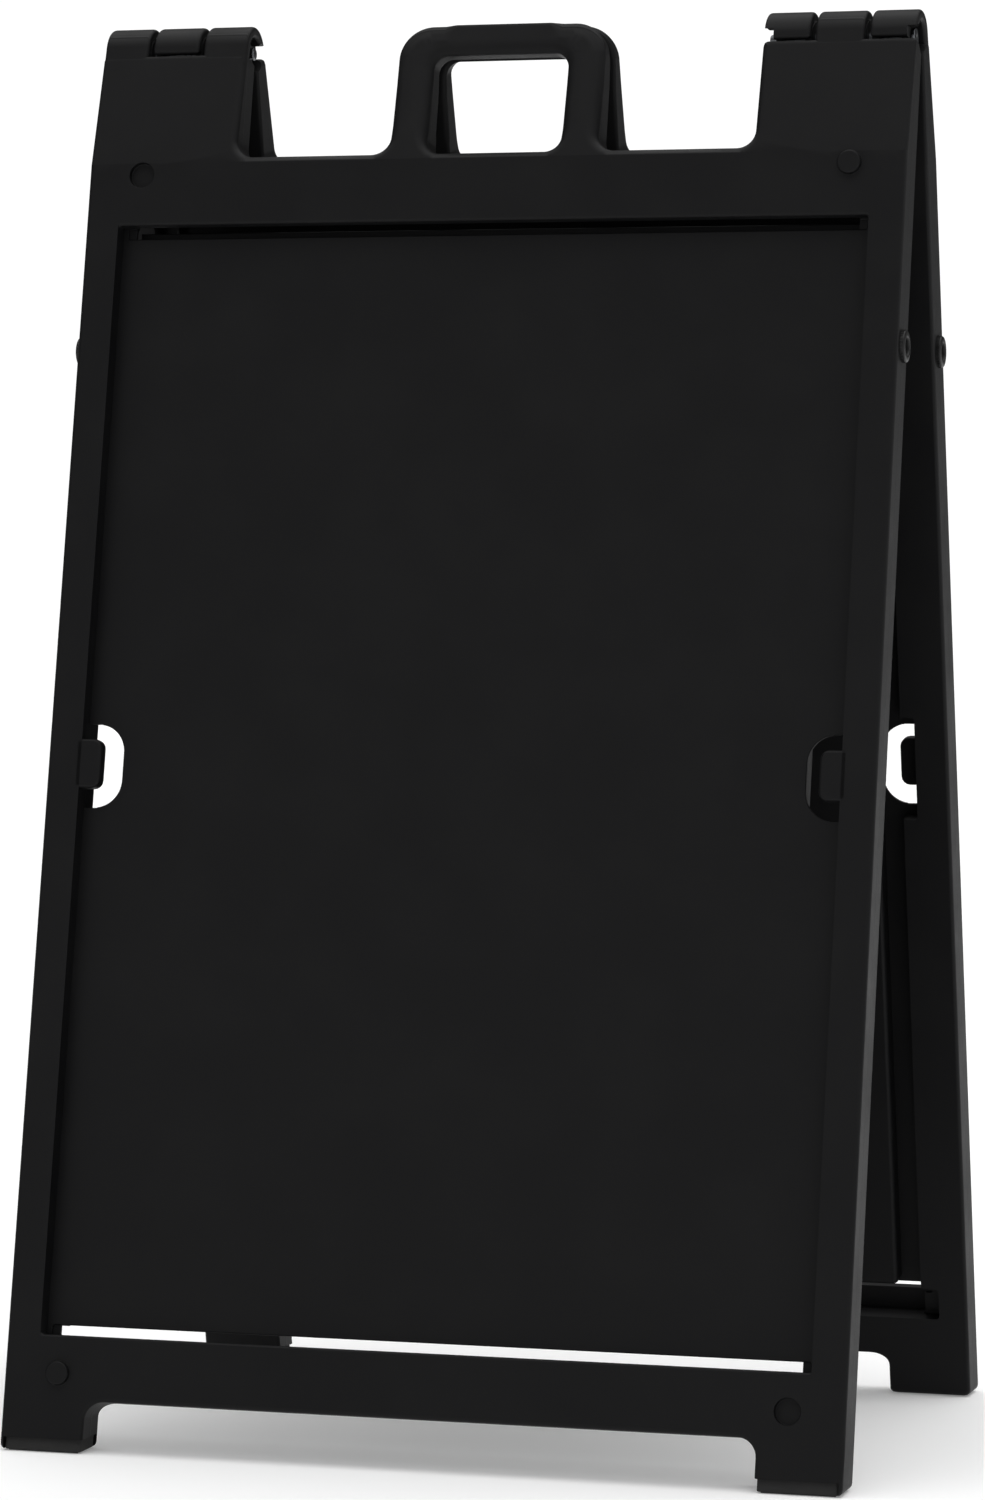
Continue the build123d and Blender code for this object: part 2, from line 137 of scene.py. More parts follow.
def plate(loops, back, front, front_round, back_round, steps=5):
    """A closed slab with rounded rims. The first loop runs anticlockwise, and holes run clockwise."""
    shape = bmesh.new()
    rims = []
    for loop in loops:
        count = len(loop)
        rings = []
        for k in range(2 * steps + 2):
            at_front = k <= steps
            turn = math.pi / 2 * (k if at_front else 2 * steps + 1 - k) / steps
            ring = []
            for i, point in enumerate(loop):
                size = front_round if at_front else back_round
                radius = size(point.x, -point.y) if callable(size) else size
                into = (point - loop[i - 1]).normalized()
                out = (loop[(i + 1) % count] - point).normalized()
                left = Vector((-into.y - out.y, into.x + out.x)) / (1 + into.dot(out))
                inset = point + left * radius * (1 - math.sin(turn))
                depth = radius * (1 - math.cos(turn))
                offset = front - depth if at_front else back + depth
                ring.append(shape.verts.new((inset.x, -offset, inset.y)))
            rings.append(ring)
        for ring, behind in zip(rings, rings[1:]):
            for i in range(count):
                shape.faces.new((ring[i - 1], behind[i - 1], behind[i], ring[i]))
        rims.append(rings)
    for end, facing in ((0, -1), (-1, 1)):
        edges = []
        for rings in rims:
            ring = rings[end]
            edges += [shape.edges.get((ring[i - 1], ring[i])) for i in range(len(ring))]
        bmesh.ops.triangle_fill(shape, edges=edges, use_beauty=True, normal=(0, facing, 0))
    bmesh.ops.remove_doubles(shape, verts=shape.verts, dist=1e-4)
    bmesh.ops.recalc_face_normals(shape, faces=shape.faces)
    return shape


def solid(name, shape, matrix=Matrix.Identity(4)):
    """An object from a bmesh."""
    mesh = bpy.data.meshes.new(name)
    shape.transform(matrix)
    shape.to_mesh(mesh)
    shape.free()
    piece = bpy.data.objects.new(name, mesh)
    bpy.context.scene.collection.objects.link(piece)
    return piece


def combine(target, tool, operation):
    """Adds a solid to another or cuts it away, and removes the tool."""
    step = target.modifiers.new(operation, "BOOLEAN")
    step.operation = operation
    step.solver = "EXACT"
    step.object = tool
    bpy.context.view_layer.update()
    made = bpy.data.meshes.new_from_object(target.evaluated_get(bpy.context.evaluated_depsgraph_get()))
    target.modifiers.remove(step)
    target.data = made
    bpy.data.objects.remove(tool)


def slab(x_span, drop_span, offset_span, corner=0.0, front_round=0.0, back_round=0.0):
    """A rectangular plate with its own corner and rim rounds."""
    (left, right), (top, bottom) = x_span, drop_span
    corners = [(left, bottom, corner), (right, bottom, corner), (right, top, corner), (left, top, corner)]
    return plate([rounded(corners, 1e6)], *offset_span, front_round, back_round)


FRAME_ROUND = 3.5
SADDLE_ROUND = 6.0
LEG_ROUND = 11.8
GRIP_ROUND = 3.0
GRIP_HALF = 47


def rim_round(x, drop):
    """The front rim's radius: soft on the handle, small along the top of its grip, crisp on the frame."""
    if abs(x) > HANDLE_HALF + 16 or drop > RAIL_TOP - 1:
        return SADDLE_ROUND if abs(x) < tower_inner + 1 and drop < RAIL_TOP + 1 else FRAME_ROUND
    if drop < -HANDLE_RISE + 1 and abs(x) < GRIP_HALF:
        return GRIP_ROUND
    return min(LEG_ROUND, SADDLE_ROUND + (RAIL_TOP - drop) * 0.3)


def back_rim_round(x, drop):
    """The rim's radius on the inner side, where the two panels fold together."""
    return 5.0 if abs(x) < HANDLE_HALF and drop < RAIL_TOP - 20 else 3.0


def seat_in_profile(shape):
    """Tapers the towers and the handle towards the hinge, and brings the soles level."""
    for drop in (BEND, gap_top + HANDLE_BAR, gap_top):
        everything = shape.verts[:] + shape.edges[:] + shape.faces[:]
        bmesh.ops.bisect_plane(shape, geom=everything, plane_co=(0, 0, -drop), plane_no=(0, 0, 1))
    for vert in shape.verts:
        drop = -vert.co.z
        share = (-vert.co.y - INNER_FACE) / (OUTER_FACE - INNER_FACE)
        outer = OUTER_FACE if drop > BEND else HOOK_RADIUS + taper * drop
        inner = INNER_FACE
        if abs(vert.co.x) < HANDLE_HALF + 1:
            clear = min(1, max(0, (gap_top + HANDLE_BAR - drop) / HANDLE_BAR))
            inner += (HANDLE_BACK - INNER_FACE) * clear
        vert.co.y = -(inner + share * (outer - inner))
        if drop > RAIL_BOTTOM:
            sunk = min(1, (drop - RAIL_BOTTOM) / 20)
            vert.co.z += sunk * (OUTER_FACE + vert.co.y) * math.tan(lean)


sole = level_drop(OUTER_FACE, PAD_PROUD)
right_side = [
    (foot_inner, RAIL_BOTTOM, 15),
    (foot_inner, sole, 4),
    (HALF_WIDTH, sole, 5),
    (HALF_WIDTH, TOWER_TOP, 3.6),
    (tower_inner, TOWER_TOP, 4.6),
    (tower_inner, RAIL_TOP, 14),
    (HANDLE_HALF, RAIL_TOP, 14),
    (HANDLE_HALF, -HANDLE_RISE, 27),
]
outline = right_side + [(-x, drop, radius) for x, drop, radius in reversed(right_side)]
leg_inner = HANDLE_HALF - HANDLE_LEG
handle_gap = [
    (-leg_inner, RAIL_TOP, 12),
    (-leg_inner, gap_top, 12),
    (leg_inner, gap_top, 12),
    (leg_inner, RAIL_TOP, 12),
]
loops = [rounded(outline), rounded(handle_gap, 6.0)]
blank = plate(loops, INNER_FACE, OUTER_FACE, rim_round, back_rim_round)
seat_in_profile(blank)
panel = solid("panel", blank)

# The recess is cut from the front, and the reliefs behind the lips and the web from the back. Every
# cutter runs clear of the face it starts from.
CLEAR = 9
half_back = HALF_WIDTH - STILE_BACK
half_core = half_back - CHANNEL
pocket = (POCKET_TOP, POCKET_BOTTOM)
recess = slab((-half_recess, half_recess), pocket, (WEB_FRONT - 2, OUTER_FACE + CLEAR), 1.5)
combine(panel, solid("cut", recess), "DIFFERENCE")
relief = slab((-half_back, half_back), pocket, (-CLEAR, WEB_FRONT - 1), 3.0)
combine(panel, solid("cut", relief), "DIFFERENCE")


def mirrored(corners):
    """An outline's right-hand corners and then their mirror image, all in running order."""
    return corners + [(-x, drop, radius) for x, drop, radius in reversed(corners)]


def lip_round(x, drop):
    """Only the recess's own rim is rounded; the outer rim is buried in the frame."""
    on_rim = abs(x) <= half_recess + 0.1 and recess_top - 0.1 <= drop <= recess_bottom + 0.1
    return 3.0 if on_rim else 0.0


BURIED = 14
RECESS_CORNER = 3.2
lip_outer = mirrored([
    (half_recess + BURIED, POCKET_BOTTOM + BURIED, 0),
    (half_recess + BURIED, POCKET_TOP - BURIED, 0),
])
lip_inner = mirrored([
    (half_recess, recess_top, RECESS_CORNER),
    (half_recess, recess_bottom, RECESS_CORNER),
])
lip_loops = [rounded(lip_outer, 1e6), rounded(lip_inner, 1e6)]
lips = plate(lip_loops, OUTER_FACE - LIP_THICK, OUTER_FACE, lip_round, 0)
combine(panel, solid("lips", lips), "UNION")

# The web fills the recess, with a slot above and below it and a D-shaped window beside each tab.
web_top = recess_top + SLOT
web_bottom = recess_bottom - SLOT
slot_edge = half_recess - SLOT_END
window_top = TAB_DROP - WINDOW_HEIGHT / 2
window_bottom = TAB_DROP + WINDOW_HEIGHT / 2
window_inner = half_recess - WINDOW_REACH
WINDOW_CORNER = 22
SLIP = 0.4
FLUSH = 0.1


def web_round(x, drop):
    """The web's free rims are softened; where it joins the stiles it stays square."""
    return 0.0 if abs(x) > slot_edge - 0.1 else 1.1


web_outline = mirrored([
    (slot_edge, web_bottom, 2.0),
    (slot_edge, recess_bottom, 0),
    (half_back + SLIP, recess_bottom, 0),
    (half_back + SLIP, POCKET_BOTTOM + 1, 0),
    (half_recess + 1, POCKET_BOTTOM + 1, 0),
    (half_recess + 1, POCKET_TOP - 1, 0),
    (half_back + SLIP, POCKET_TOP - 1, 0),
    (half_back + SLIP, recess_top, 0),
    (slot_edge, recess_top, 0),
    (slot_edge, web_top, 2.0),
])
right_window = [
    (half_recess + SLIP, window_bottom, 0),
    (window_inner, window_bottom, WINDOW_CORNER),
    (window_inner, window_top, WINDOW_CORNER),
    (half_recess + SLIP, window_top, 0),
]
left_window = [(-x, drop, radius) for x, drop, radius in reversed(right_window)]
web_loops = [rounded(web_outline, 40.0), rounded(right_window), rounded(left_window)]
combine(panel, solid("web", plate(web_loops, WEB_BACK, WEB_FRONT, web_round, web_round)), "UNION")

# A thick core stands behind the web, with a channel between it and each stile. The stiles are notched
# behind the windows, and the grooves for the sheet's ends are open at the back.
CORE_INSET = 1.5
CHANNEL_DEPTH = 6.0
CHANNEL_ABOVE = 26
CHANNEL_BELOW = 52
NOTCH = 9.0
GROOVE_OVERHANG = 4
core_drops = (web_top + CORE_INSET, web_bottom - CORE_INSET)
core = slab((-half_core, half_core), core_drops, (CORE_BACK, WEB_FRONT - 1), 5.0, 0.0, 4.0)
combine(panel, solid("core", core), "UNION")
channel_drops = (POCKET_TOP - CHANNEL_ABOVE, POCKET_BOTTOM + CHANNEL_BELOW)
channel_offsets = (-CLEAR, INNER_FACE + CHANNEL_DEPTH)
window_drops = (window_top - 0.3, window_bottom + 0.3)
notch_drops = (window_top - NOTCH, window_bottom + NOTCH)
for side in (-1, 1):
    notch_across = sorted((side * (half_back - 0.5), side * (half_recess + 2 * SLIP)))
    through = slab(notch_across, window_drops, (-CLEAR, OUTER_FACE - LIP_THICK))
    combine(panel, solid("cut", through), "DIFFERENCE")
    notch = slab(notch_across, notch_drops, (-CLEAR, WEB_BACK - SLIP), 3.0)
    combine(panel, solid("cut", notch), "DIFFERENCE")
    channel_across = sorted((side * half_core, side * half_back))
    channel = slab(channel_across, channel_drops, channel_offsets, 4.0, CHANNEL_DEPTH - 1)
    combine(panel, solid("cut", channel), "DIFFERENCE")
groove_across = (-half_recess - GROOVE_OVERHANG, half_recess + GROOVE_OVERHANG)
for drops in ((POCKET_TOP, web_top), (web_bottom, POCKET_BOTTOM)):
    groove = slab(groove_across, drops, (-CLEAR, WEB_BACK - 3), 3.0)
    combine(panel, solid("cut", groove), "DIFFERENCE")
for drops in ((recess_top, web_top), (web_bottom, recess_bottom)):
    slot = slab((-slot_edge, slot_edge), drops, (-CLEAR, WEB_BACK - SLIP), 2.0)
    combine(panel, solid("cut", slot), "DIFFERENCE")

# A bar along the core's top edge stops daylight at the back of the upper slot.
BAR_THICK = 5.0
BAR_ROOT = 2.4
bar_drops = (recess_top, web_top + BAR_ROOT)
bar_offsets = (CORE_BACK + FLUSH, CORE_BACK + BAR_THICK)
slot_bar = slab((-half_back - 1, half_back + 1), bar_drops, bar_offsets, 0.0, 0.9, 0.9)
combine(panel, solid("slot_bar", slot_bar), "UNION")

# A tab on each stile reaches over the sheet's long edge.
TAB_ROOT = 5.0
TAB_CORNER = 7.0
TAB_ROUND = 2.2
for side in (-1, 1):
    tab_outline = [
        (half_recess + TAB_ROOT, TAB_DROP + TAB_HEIGHT / 2, 0),
        (half_recess + TAB_ROOT, TAB_DROP - TAB_HEIGHT / 2, 0),
        (half_recess - TAB_REACH, TAB_DROP - TAB_HEIGHT / 2, TAB_CORNER),
        (half_recess - TAB_REACH, TAB_DROP + TAB_HEIGHT / 2, TAB_CORNER),
    ]
    if side < 0:
        tab_outline = [(-x, drop, radius) for x, drop, radius in reversed(tab_outline)]
    tab = plate([rounded(tab_outline)], OUTER_FACE - LIP_THICK + FLUSH, OUTER_FACE, TAB_ROUND, 1.0)
    combine(panel, solid("tab", tab), "UNION")

# A tower rises at each end of the top rail: two hooks on the left one, one in the middle of the right.
on_side = Matrix.Rotation(math.pi / 2, 4, "Z")
HOOK_LEFT_OUTER = (-333.5, -296.25)
HOOK_LEFT_INNER = (-249.25, -212.0)
HOOK_RIGHT = (253.25, 292.25)
CHEEK = 6.0
HEAD_ROOM = 8.0
ROD_RADIUS = 5.0


def round_axis(radius, start, end, count):
    """Outline corners on an arc about the hinge axis, by degrees from straight up towards the other panel."""
    turns = [math.radians(start + (end - start) * k / count) for k in range(count + 1)]
    return [(radius * math.sin(turn), -radius * math.cos(turn), 0) for turn in turns]


def bar(span, radius, end_round=0.0):
    """A round bar along the hinge axis."""
    circle = round_axis(radius, 0, -360, 48)[:-1]
    return solid("bar", plate([rounded(circle, 1e6)], *span, end_round, end_round), on_side)


inner_radius = HOOK_RADIUS - HOOK_WALL
hook_gaps = [
    (HOOK_LEFT_OUTER[1], HOOK_LEFT_INNER[0]),
    (tower_inner - 1, HOOK_RIGHT[0]),
    (HOOK_RIGHT[1], HALF_WIDTH + 1),
]
for span in hook_gaps:
    combine(panel, bar(span, inner_radius + 1), "DIFFERENCE")

# The outermost and innermost ends are open, for the rod's head and the clip, and their lips are shorter.
OPEN_RADIUS = 11.0
LIP_END = 12.0
open_ends = {
    HOOK_LEFT_OUTER: (-HALF_WIDTH - 1, HOOK_LEFT_OUTER[0] + HEAD_ROOM),
    HOOK_LEFT_INNER: (HOOK_LEFT_INNER[1] - HEAD_ROOM, -tower_inner + 1),
}
for span in open_ends.values():
    combine(panel, bar(span, OPEN_RADIUS), "DIFFERENCE")

hook_root = TOWER_TOP + 8
tip = math.radians(HOOK_LIP)
hook_outline = [(-(HOOK_RADIUS + taper * hook_root - SLIP), hook_root, 0), (-inner_radius, hook_root, 0)]
hook_outline += round_axis(inner_radius, -90, HOOK_LIP - 14, 14)
hook_outline += [(inner_radius * math.sin(tip), -inner_radius * math.cos(tip), 2.5)]
hook_outline += [(HOOK_RADIUS * math.sin(tip), -HOOK_RADIUS * math.cos(tip), 3.2)]
hook_outline += round_axis(HOOK_RADIUS, HOOK_LIP - 10, -90, 26)
cheeks = {
    HOOK_LEFT_OUTER: (HOOK_LEFT_OUTER[0] + HEAD_ROOM, HOOK_LEFT_OUTER[1] - CHEEK),
    HOOK_LEFT_INNER: (HOOK_LEFT_INNER[0], HOOK_LEFT_INNER[1] - HEAD_ROOM - CHEEK),
    HOOK_RIGHT: (HOOK_RIGHT[0], HOOK_RIGHT[1] - CHEEK),
}
for span, starts in cheeks.items():
    wrap = plate([rounded(hook_outline)], span[0] + FLUSH, span[1] - FLUSH, 3.0, 3.0)
    hook = solid("hook", wrap, on_side)
    for start in starts:
        cheek = bar((start + 2 * FLUSH, start + CHEEK - 2 * FLUSH), inner_radius + 0.6, 0.6)
        combine(hook, cheek, "UNION")
    combine(hook, bar((span[0] - 1, span[1] + 1), ROD_RADIUS + 0.08), "DIFFERENCE")
    if span in open_ends:
        lip_end = slab(open_ends[span], (-LIP_END, CLEAR), (-HOOK_RADIUS - 2, -inner_radius + 4))
        combine(hook, solid("cut", lip_end), "DIFFERENCE")
    combine(panel, hook, "UNION")

# Two studs and two sockets on the outer face key folded boards together in a stack.
STUD_RADIUS = 9.3
STUD_HEIGHT = 4.0
SOCKET_RADIUS = 10.2
SOCKET_DEPTH = 4.9
STUD_INSET = 44.5
stud_across = HALF_WIDTH - STUD_INSET
stud_upper = RAIL_TOP + 14.5
stud_lower = RAIL_BOTTOM - 20.5
outwards = Matrix.Rotation(math.pi / 2, 4, "X")


def turned(profile, count=64):
    """A turned shape from (radius, height) pairs that start and end on its axis."""
    shape = bmesh.new()
    rings = []
    for radius, height in profile:
        if radius == 0:
            rings.append([shape.verts.new((0, 0, height))] * count)
            continue
        turns = [2 * math.pi * k / count for k in range(count)]
        rings.append([shape.verts.new((radius * math.cos(a), radius * math.sin(a), height)) for a in turns])
    for lower, upper in zip(rings, rings[1:]):
        for k in range(count):
            corners = (lower[k - 1], lower[k], upper[k], upper[k - 1])
            shape.faces.new(dict.fromkeys(corners))
    bmesh.ops.recalc_face_normals(shape, faces=shape.faces)
    return shape


def quarter(radius, height, size, start, end, pieces=4):
    """A rounded corner of a turned profile: its centre's radius and height, and its start and end degrees."""
    turns = [math.radians(start + (end - start) * k / pieces) for k in range(pieces + 1)]
    return [(radius + size * math.cos(a), height + size * math.sin(a)) for a in turns]


def on_face(x, drop, offset):
    """A place on the panel's face, with the part's axis pointing outwards."""
    return Matrix.Translation((x, -offset, -drop)) @ outwards


stud = [(0, -4), (STUD_RADIUS + 1.0, -4), (STUD_RADIUS + 1.0, 0)]
stud += [(STUD_RADIUS + 0.3, 0.25), (STUD_RADIUS, 0.8)]
stud += quarter(STUD_RADIUS - 1.4, STUD_HEIGHT - 1.4, 1.4, 0, 90) + [(0, STUD_HEIGHT)]
socket = [(0, -SOCKET_DEPTH)] + quarter(SOCKET_RADIUS - 0.8, 0.8 - SOCKET_DEPTH, 0.8, -90, 0)
socket += [(SOCKET_RADIUS, -0.8), (SOCKET_RADIUS + 0.25, -0.25), (SOCKET_RADIUS + 1.0, 0.05)]
socket += [(SOCKET_RADIUS + 1.0, 4), (0, 4)]
for x, drop in ((stud_across, stud_upper), (-stud_across, stud_lower)):
    combine(panel, solid("stud", turned(stud), on_face(x, drop, OUTER_FACE)), "UNION")
for x, drop in ((-stud_across, stud_upper), (stud_across, stud_lower)):
    combine(panel, solid("socket", turned(socket), on_face(x, drop, OUTER_FACE)), "DIFFERENCE")

# A filler hole in each side wall, and a seat with two peg holes under each foot.
FILLER_DROP = RAIL_TOP + 155.0
FILLER_RADIUS = 8.0
FILLER_DEPTH = 14.0
PEG_RADIUS = 4.5
PEG_LENGTH = 10.0
PEG_PITCH = 32.0
PEG_OFFSET = INNER_FACE + 16.0
middle = (INNER_FACE + OUTER_FACE) / 2
hole = [(0, -FILLER_DEPTH), (FILLER_RADIUS, -FILLER_DEPTH), (FILLER_RADIUS, 2), (0, 2)]
pad_inner = foot_inner + 1.6
pad_outer = HALF_WIDTH - 3.15
pad_back = 4.35
SEAT_CLEAR = 0.15
SEAT_DEEP = 40
SEAT_BEYOND = 30
peg_places = [(pad_inner + pad_outer) / 2 + shift * PEG_PITCH / 2 for shift in (-1, 1)]
peg_root = level_drop(PEG_OFFSET, PAD_HEIGHT)


def facing_side(side, drop, offset):
    """A place on a side wall, with the part's axis pointing out sideways."""
    sideways = Matrix.Rotation(side * math.pi / 2, 4, "Y")
    return Matrix.Translation((side * HALF_WIDTH, -offset, -drop)) @ sideways


def bevelled_peg(radius, length):
    """A round peg with a rounded tip, its root sunk below the seat."""
    tip_round = 1.2
    shank = [(0, -6), (radius, -6), (radius, length - tip_round)]
    tip = quarter(radius - tip_round, length - tip_round, tip_round, 0, 90)[1:]
    return shank + tip + [(0, length)]


for side in (-1, 1):
    combine(panel, solid("hole", turned(hole), facing_side(side, FILLER_DROP, middle)), "DIFFERENCE")
    seat_outline = [
        (-pad_back + SEAT_CLEAR, -level_drop(pad_back, PAD_HEIGHT)),
        (-pad_back + SEAT_CLEAR, -level_drop(pad_back, PAD_HEIGHT) - SEAT_DEEP),
        (-OUTER_FACE - SEAT_BEYOND, -level_drop(OUTER_FACE + SEAT_BEYOND, PAD_HEIGHT) - SEAT_DEEP),
        (-OUTER_FACE - SEAT_BEYOND, -level_drop(OUTER_FACE + SEAT_BEYOND, PAD_HEIGHT)),
    ]
    seat_across = sorted((side * (foot_inner - 2), side * (pad_outer + SEAT_CLEAR)))
    seat = plate([[Vector(point) for point in reversed(seat_outline)]], *seat_across, 0, 0)
    combine(panel, solid("seat", seat, on_side), "DIFFERENCE")
    for x in peg_places:
        peg_hole = turned(bevelled_peg(PEG_RADIUS + 0.05, PEG_LENGTH + 0.5))
        peg_place = Matrix.Translation((side * x, -PEG_OFFSET, -peg_root))
        combine(panel, solid("peg_hole", peg_hole, peg_place), "DIFFERENCE")

# Light slides smoothly over the rounds and lies flat on the faces, and the sharp edges stay sharp.
panel.data.shade_smooth()
panel.data.set_sharp_from_angle(angle=math.radians(33))
even = panel.modifiers.new("even light", "WEIGHTED_NORMAL")
even.keep_sharp = True
even.weight = 80
bpy.context.view_layer.update()
moulding = bpy.data.meshes.new_from_object(panel.evaluated_get(bpy.context.evaluated_depsgraph_get()))
bpy.data.objects.remove(panel)
where = moulding.attributes.new("panel_mm", "FLOAT_VECTOR", "POINT")
where.data.foreach_set("vector", [value for vert in moulding.vertices for value in vert.co])


def linear(colour):
    """An sRGB hex colour as linear RGBA."""
    channels = [int(colour[i:i + 2], 16) / 255 for i in (1, 3, 5)]
    return [c / 12.92 if c <= 0.04045 else ((c + 0.055) / 1.055) ** 2.4 for c in channels] + [1.0]


def add(tree, kind, settings=None, inputs=None):
    """Adds a node. Its inputs are values, or the sockets they come from."""
    node = tree.nodes.new(kind)
    for name, value in (settings or {}).items():
        setattr(node, name, value)
    for name, value in (inputs or {}).items():
        if isinstance(value, bpy.types.NodeSocket):
            tree.links.new(value, node.inputs[name])
        else:
            node.inputs[name].default_value = value
    return node


def new_material(name):
    """An empty node material and its output."""
    material = bpy.data.materials.new(name)
    material.use_nodes = True
    material.node_tree.nodes.clear()
    return material, material.node_tree


def spacing(millimetres):
    """The texture scale whose pattern repeats at this real size, on coordinates in metres."""
    return 1 / (millimetres * MM)


# Blow-moulded black polyethylene: the cool mould's blasted face leaves a fine satin grain, the stretched
# wall ripples very slightly between its ribs, and handling and street dust dull it in soft patches.
polyethylene, tree = new_material("blow_moulded_polyethylene")
at = add(tree, "ShaderNodeTexCoord").outputs["Object"]
on_panel = add(tree, "ShaderNodeAttribute", {"attribute_name": "panel_mm"}).outputs["Vector"]
grain = add(tree, "ShaderNodeTexNoise", None, {
    "Vector": at, "Scale": spacing(1.1), "Detail": 3.0, "Roughness": 0.6})
ripple = add(tree, "ShaderNodeTexNoise", None, {"Vector": at, "Scale": spacing(38), "Detail": 1.0})
dust = add(tree, "ShaderNodeTexNoise", None, {
    "Vector": at, "Scale": spacing(70), "Detail": 6.0, "Roughness": 0.62})
specks = add(tree, "ShaderNodeTexNoise", None, {"Vector": at, "Scale": spacing(2.6), "Detail": 2.0})
offset_out = add(tree, "ShaderNodeSeparateXYZ", None, {"Vector": on_panel}).outputs["Y"]
from_middle = add(tree, "ShaderNodeMath", {"operation": "ADD"}, {0: offset_out, 1: middle})
off_line = add(tree, "ShaderNodeMath", {"operation": "ABSOLUTE"}, {0: from_middle.outputs[0]})
parting = add(tree, "ShaderNodeMapRange", {"interpolation_type": "SMOOTHSTEP"}, {
    "Value": off_line.outputs[0], "From Min": 0.15, "From Max": 0.7, "To Min": 1.0, "To Max": 0.0})
grained = add(tree, "ShaderNodeBump", None, {
    "Height": grain.outputs["Fac"], "Distance": 0.07 * MM, "Strength": 0.55})
rippled = add(tree, "ShaderNodeBump", None, {
    "Height": ripple.outputs["Fac"], "Distance": 1.1 * MM, "Strength": 0.35,
    "Normal": grained.outputs["Normal"]})
parted = add(tree, "ShaderNodeBump", None, {
    "Height": parting.outputs[0], "Distance": 0.25 * MM, "Strength": 0.8,
    "Normal": rippled.outputs["Normal"]})
dusty = add(tree, "ShaderNodeMapRange", None, {
    "Value": dust.outputs["Fac"], "From Min": 0.42, "From Max": 0.75, "To Min": 0.0, "To Max": 0.35})
colour = add(tree, "ShaderNodeMix", {"data_type": "RGBA"}, {
    "Factor": dusty.outputs[0], 6: linear("#0e0e0f"), 7: linear("#171717")})
dull = add(tree, "ShaderNodeMapRange", None, {
    "Value": dust.outputs["Fac"], "From Min": 0.3, "From Max": 0.7, "To Min": 0.43, "To Max": 0.53})
speckled = add(tree, "ShaderNodeMath", {"operation": "MULTIPLY_ADD"}, {
    0: specks.outputs["Fac"], 1: 0.06, 2: dull.outputs[0]})
shader = add(tree, "ShaderNodeBsdfPrincipled", None, {
    "Base Color": colour.outputs[2], "Roughness": speckled.outputs[0], "IOR": 1.51,
    "Specular IOR Level": 0.13, "Normal": parted.outputs["Normal"]})
add(tree, "ShaderNodeOutputMaterial", None, {"Surface": shader.outputs["BSDF"]})

for body, leaf in place.items():
    mesh = moulding.copy()
    mesh.transform(leaf)
    mesh.materials.clear()
    mesh.materials.append(polyethylene)
    shell = bpy.data.objects.new(f"{body}_panel_shell", mesh)
    bpy.context.scene.collection.objects.link(shell)
    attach(shell, body)
    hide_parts(f"{body}_panel")

# ---- Hinge rods ----------------------------------------------------------------------------------
# A short zinc-plated steel rod runs along the axis through the hooks of each tower. One end is cold
# headed and sits in the outer hook; the other is chamfered, and grooved where the clip grips it.
HEAD_FACE = -328.6
ROD_TIP = -213.0
HEAD_RADIUS = 8.0
HEAD_THICK = 3.0
GRIP = 109.3
rod_length = ROD_TIP - HEAD_FACE
rod_profile = [(0, 0.35), (2.2, 0.3), (2.9, 0.0)] + quarter(HEAD_RADIUS - 0.9, 0.9, 0.9, -90, 0)
rod_profile += quarter(HEAD_RADIUS - 0.4, HEAD_THICK - 0.4, 0.4, 0, 90)
rod_profile += [(ROD_RADIUS + 0.5, HEAD_THICK), (ROD_RADIUS, HEAD_THICK + 0.5)]
rod_profile += [(ROD_RADIUS, GRIP - 0.6), (ROD_RADIUS - 0.25, GRIP - 0.4), (ROD_RADIUS - 0.25, GRIP + 0.4)]
rod_profile += [(ROD_RADIUS, GRIP + 0.6), (ROD_RADIUS, rod_length - 0.9)]
rod_profile += [(ROD_RADIUS - 0.8, rod_length - 0.1), (ROD_RADIUS - 1.2, rod_length), (0, rod_length)]
along_axis = Matrix.Rotation(math.pi / 2, 4, "Y")

# Zinc plate over drawn bar, with fine lines round the bar and cloudy spots where the plate has dulled most.
# Its colour is kept far darker than bright zinc, a dull, slightly blue grey: painted shade for the rod inside
# the hooks.
zinc, tree = new_material("zinc_plated_steel")
at = add(tree, "ShaderNodeTexCoord").outputs["Object"]
drawn = add(tree, "ShaderNodeMapping", None, {"Vector": at, "Scale": (4.0, 1.0, 1.0)})
lines = add(tree, "ShaderNodeTexNoise", None, {
    "Vector": drawn.outputs[0], "Scale": spacing(1.4), "Detail": 4.0, "Roughness": 0.7})
clouds = add(tree, "ShaderNodeTexNoise", None, {"Vector": at, "Scale": spacing(6), "Detail": 4.0})
# Both plating tones are plating colour and painted shade together: darkened so the rod looks shaded in the
# hooks.
plated = add(tree, "ShaderNodeMix", {"data_type": "RGBA"}, {
    "Factor": clouds.outputs["Fac"], 6: linear("#77797c"), 7: linear("#55575a")})
cloudy = add(tree, "ShaderNodeMapRange", None, {
    "Value": clouds.outputs["Fac"], "From Min": 0.3, "From Max": 0.7, "To Min": 0.22, "To Max": 0.38})
scored = add(tree, "ShaderNodeBump", None, {
    "Height": lines.outputs["Fac"], "Distance": 0.03 * MM, "Strength": 0.5})
shader = add(tree, "ShaderNodeBsdfPrincipled", None, {
    "Base Color": plated.outputs[2], "Roughness": cloudy.outputs[0], "Metallic": 1.0,
    "Normal": scored.outputs["Normal"]})
add(tree, "ShaderNodeOutputMaterial", None, {"Surface": shader.outputs["BSDF"]})


def finish(name, mesh, material, body, node, crease=35):
    """Shades a finished mesh, gives it its material and joins it to its body in place of its CAD node."""
    mesh.name = name
    mesh.shade_smooth()
    mesh.set_sharp_from_angle(angle=math.radians(crease))
    mesh.materials.clear()
    mesh.materials.append(material)
    piece = bpy.data.objects.new(name, mesh)
    bpy.context.scene.collection.objects.link(piece)
    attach(piece, body)
    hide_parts(node)
    return piece


